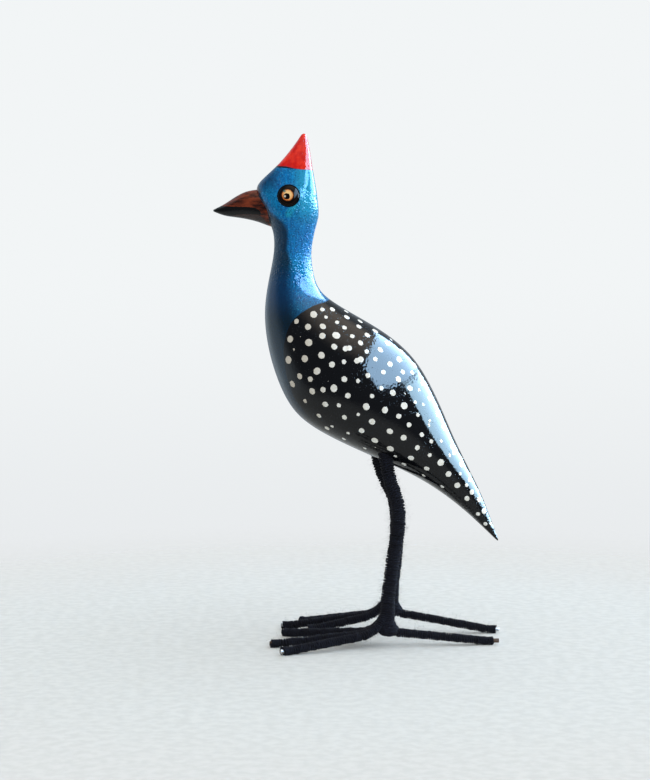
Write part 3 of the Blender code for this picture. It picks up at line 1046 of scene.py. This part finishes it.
def twistPlies(mesh, sidesRound):
    # two plies twisted together: each ring of the strand gets two lobes that turn
    points = meshPoints(mesh).reshape(-1, sidesRound, 3).astype(float)
    middles = points.mean(axis=1, keepdims=True)
    steps = np.linalg.norm(np.diff(middles[:, 0], axis=0), axis=1)
    travelled = np.concatenate(([0.0], np.cumsum(steps)))
    bearing = np.arange(sidesRound) * 2 * math.pi / sidesRound
    lobe = np.cos(2 * (bearing[None, :] - travelled[:, None] * math.pi / yarn["plyLength"]))
    reach = 1 - yarn["plyDepth"] + yarn["plyDepth"] * lobe
    points = middles + (points - middles) * reach[:, :, None]
    mesh.vertices.foreach_set("co", points.reshape(-1).astype(np.float32))
    putAttribute(mesh, "ply", lobe.reshape(-1))


def looseFibres(path, radius, count, rng):
    # curled hairs that start in the yarn, with none under the toes or in the floor
    frames = measured(path)
    thin = yarn["fuzzRadius"]
    fibres = []
    for _ in range(count):
        place, ahead, side, up = frameAt(frames, rng.random())
        angle = rng.uniform(0, 2 * math.pi)
        out = side * math.cos(angle) + up * math.sin(angle)
        around = ahead.cross(out)
        start = place + out * radius * 0.94
        if start.z < radius * 0.6:
            continue
        length = rng.uniform(*yarn["fuzzLength"])
        drift = around * rng.uniform(-1, 1) + ahead * rng.uniform(-1, 1) + out * rng.uniform(0.1, 0.8)
        drift.normalize()
        curl = Vector([rng.uniform(-0.7, 0.7) for _ in range(3)])
        fibre = [(start, thin), (start + (drift * 0.36 + out * 0.12) * length, thin),
                 (start + (drift * 0.66 + curl * 0.25) * length, thin * 0.9),
                 (start + (drift * 0.80 + curl * 0.75) * length, thin * 0.5)]
        if min(point.z for point, _ in fibre) > thin:
            fibres.append(fibre)
    return fibres


def joinMeshes(name, meshes):
    bm = bmesh.new()
    for mesh in meshes:
        bm.from_mesh(mesh)
    bmesh.ops.remove_doubles(bm, verts=bm.verts, dist=0.0000005)
    piece = showMesh(name, bm)
    for mesh in meshes:
        bpy.data.meshes.remove(mesh)
    return piece


def windLimb(path, radius, limb, fuzz, rng):
    # close turns and the open winding across them, the core inside and the loose fibres
    strand = limb["strand"]
    out, thick = limb["across"]
    coils = [winding(path, radius, limb["pitch"], strand, limb, rng),
             winding(path, radius + strand * out, yarn["crossPitch"], strand * thick, limb, rng, -1)]
    inner = radius - strand * yarn["coreDepth"]
    core = [(path[0], 0.0), *((place, inner) for place in path), (path[-1], 0.0)]
    return coils, core, looseFibres(path, radius, fuzz, rng)


def makeWoundLeg(name, foot):
    rng = random.Random(yarn["seed"] + foot["side"])
    coils = [ankleWinding(foot, lump, rng) for lump in ankleLumps]
    cores = []
    fibres = []
    limbs = [(legPath(foot), legs["diameter"] / 2, yarn["leg"], yarn["fuzz"] // 2)]
    for toe in foot["toes"].values():
        limbs.append((toePath(foot, toe), legs["toeDiameter"] / 2, yarn["toe"], yarn["fuzz"] // 8))
    for limb in limbs:
        wound, core, loose = windLimb(*limb, rng)
        coils += wound
        cores.append(core)
        fibres += loose
    strands = sweep(name, coils, 2)
    twistPlies(strands, 8)
    # "ply" is -1 between the plies and in the core, and 1 and more on top of the strand; the wool
    # is coloured darker where it is low, which is painted shade in the crevices
    inner = sweep(name, cores, 3)
    putAttribute(inner, "ply", [-1.0] * len(inner.vertices))
    fluff = sweep(name, fibres, 0)
    putAttribute(fluff, "ply", [1.2] * len(fluff.vertices))
    return joinMeshes(name, [strands, inner, fluff])


def yarnPaint():
    paint = Paint("black_wool", Sheen_Weight=0.06, Sheen_Roughness=0.5, Specular_IOR_Level=0.05)
    ply = paint.attribute("ply")
    speckle = paint.grain(2600, 3)
    color = paint.layers(
        rgb(17, 18, 24),
        # lighter on top of the strands and fibres, darker between the plies and in the core: painted
        # shade
        (ply.ramp(-1, 1), rgb(29, 31, 41)),
        (speckle.ramp(0.55, 0.8) * 0.5, rgb(44, 47, 60)),
        (paint.grain(160, 2).ramp(0.45, 0.7) * 0.3, rgb(15, 14, 17)))
    bump = paint.relief(speckle + paint.grain(5200, 2) * 0.5, 0.0001, 0.8)
    return paint.finish(Base_Color=color, Roughness=speckle.ramp(0, 1, 0.8, 1.0), Normal=bump)


woolMaterial = yarnPaint()
for name, foot in feet.items():
    wound = makeWoundLeg(f"{name}_wound_leg", foot)
    wound.data.materials.append(woolMaterial)
    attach(wound, "root")
    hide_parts(f"{name}_leg")
    print(name, "leg wound:", len(wound.data.polygons), "faces")

# The wire ends: cut with pliers, so the tip is a little flattened
wires = {
    "diameter": 0.0018,
    "seat": 0.0034,
    "sides": 24,
    "edge": 0.00012,
    "pinch": 0.72,
    "spread": 1.06,
    "creaseAngle": 35.0,
    "rusty": ("left_back", "left_middle", "right_outer"),
}


def makeWire(name, foot, toe):
    end = toePath(foot, toe)[-1]
    direction = toeDirection(foot, toe[1])
    shows = toe[2] * legs["wireShowing"]
    bm = rod(wires["diameter"] / 2, wires["seat"] + shows, wires["sides"])
    bmesh.ops.translate(bm, verts=bm.verts, vec=(0, 0, (shows - wires["seat"]) / 2))
    rim = [edge for edge in bm.edges if all(vert.co.z > shows * 0.99 for vert in edge.verts)]
    bmesh.ops.bevel(bm, geom=rim, offset=wires["edge"], offset_type="OFFSET", segments=2,
                    profile=0.5, affect="EDGES", material=-1)
    tip = [vert for vert in bm.verts if vert.co.z > shows - wires["edge"] * 2]
    bmesh.ops.scale(bm, vec=(wires["pinch"], wires["spread"], 1), verts=tip)
    piece = showMesh(name, bm, aimed(end, direction), wires["creaseAngle"])
    past = (meshPoints(piece.data) - np.array(end)) @ np.array(direction) / mm
    putAttribute(piece.data, "fromTip", shows / mm - past)
    return piece


def wirePaint(name, rust):
    paint = Paint(name, IOR=1.5)
    cut = paint.attribute("fromTip").ramp(0.16, 0.02)
    stain = (paint.grain(900, 4) + (rust - 0.5)).ramp(0.35, 0.75) * (1 - cut)
    color = paint.mix(stain, rgb(176, 176, 178), rgb(78, 56, 40))
    color = paint.mix(cut, color, rgb(226, 226, 228))
    scratches = paint.relief(paint.grain(1500, 3), 0.00003, 0.6)
    return paint.finish(Base_Color=color, Metallic=1 - stain * 0.8, Roughness=stain * 0.45 + 0.28,
                        Normal=scratches)


cleanWire = wirePaint("cut_steel_wire", 0.25)
rustyWire = wirePaint("rusty_steel_wire", 0.85)
for name, foot in feet.items():
    for toeName, toe in foot["toes"].items():
        piece = makeWire(f"{name}_{toeName}_wire_end", foot, toe)
        rusty = f"{name}_{toeName}" in wires["rusty"]
        piece.data.materials.append(rustyWire if rusty else cleanWire)
        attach(piece, "root")
        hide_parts(f"{name}_{toeName}_toe_wire")
print("wire ends cut")

# Studio: a pale floor that fades into a pale room. The lacquer mirrors the room, so the
# room has a window wall on the right, a warm ceiling and a dark side behind the camera.
studio = {
    "floorFade": (0.14, 0.42),  # metres from the middle of the floor
    "floorLight": rgb(205, 206, 202),
    "floorDark": rgb(195, 196, 192),
    "backdrop": rgb(242, 245, 246),
    "backdropLow": rgb(232, 235, 237),
    "dark": (0.17, 0.19, 0.22, 1.0),
    "ceiling": (2.6, 2.3, 2.0, 1.0),
    "wall": (0.42, 0.48, 0.54, 1.0),
    "leftWall": (1.15, 1.36, 1.50, 1.0),
    "upperPane": (11.5, 18.0, 25.5, 1.0),
    "lowerPane": (13.5, 21.0, 27.5, 1.0),
    "upperPaneSpan": ((-2.5, 1.45), (0.575, 1.43)),  # along the wall and up, for a wall at 1
    "lowerPaneSpan": ((-0.42, 1.25), (0.05, 0.55)),
}


def makeFloor():
    bm = bmesh.new()
    bmesh.ops.create_circle(bm, cap_ends=True, segments=96, radius=studio["floorFade"][1] * 1.05)
    floor = showMesh("floor", bm)
    paint = Paint("pale_floor", Roughness=0.85)
    out = paint.node("VectorMath", {"operation": "LENGTH"}, {0: paint.place()}, "Value")
    near, far = studio["floorFade"]
    color = paint.mix(paint.grain(220, 3).ramp(0.3, 0.7), studio["floorDark"], studio["floorLight"])
    floor.data.materials.append(paint.finish(Base_Color=color, Alpha=out.ramp(far, near)))


def makeRoom():
    world = bpy.data.worlds.new("room")
    scene.world = world
    room = NodeWork(world, "Background")
    direction = room.node("TexCoord", output="Generated")
    x, y, z = (room.node("SeparateXYZ", {}, {0: direction}, axis) for axis in "XYZ")

    # what the lacquer mirrors
    mirrored = room.layers(
        studio["dark"],
        (z.ramp(0.45, 0.92) * x.ramp(-0.55, 0.35), studio["ceiling"]),
        (y.ramp(0.10, 0.55), studio["wall"]),
        (y.ramp(-0.55, 0.0) * x.ramp(-0.3, -0.75), studio["leftWall"]))
    reach = x.most(0.02)
    for pane in ("upperPane", "lowerPane"):
        (left, right), (low, high) = studio[pane + "Span"]
        lit = (y / reach).within(left, right, 0.03) * (z / reach).within(low, high, 0.02)
        mirrored = room.mix(lit * x.ramp(0.02, 0.06), mirrored, studio[pane])

    # what falls on everything, brighter from above and from the right
    level = z.ramp(-0.3, 1.0, 0.17, 0.98) + x.ramp(-0.4, 1.0, 0.0, 1.3) + y.ramp(-0.2, 1.0, 0.0, 0.2)
    falling = room.mix(1.0, room.mix(x.ramp(-0.6, 0.6), (1.0, 0.97, 0.93, 1), (0.93, 0.99, 1.06, 1)),
                       room.node("CombineColor", {}, {0: level, 1: level, 2: level}), "MULTIPLY")
    ray = room.node("LightPath", output="Is Glossy Ray")
    seen = room.mix(ray, falling, mirrored)
    backdrop = room.mix(z.ramp(-0.16, 0.02), studio["backdropLow"], studio["backdrop"])
    seen = room.mix(room.node("LightPath", output="Is Camera Ray"), seen, backdrop)
    room.finish(Color=seen, Strength=1.0)


makeFloor()
makeRoom()
scene.view_settings.view_transform = "Standard"
print("studio lit")
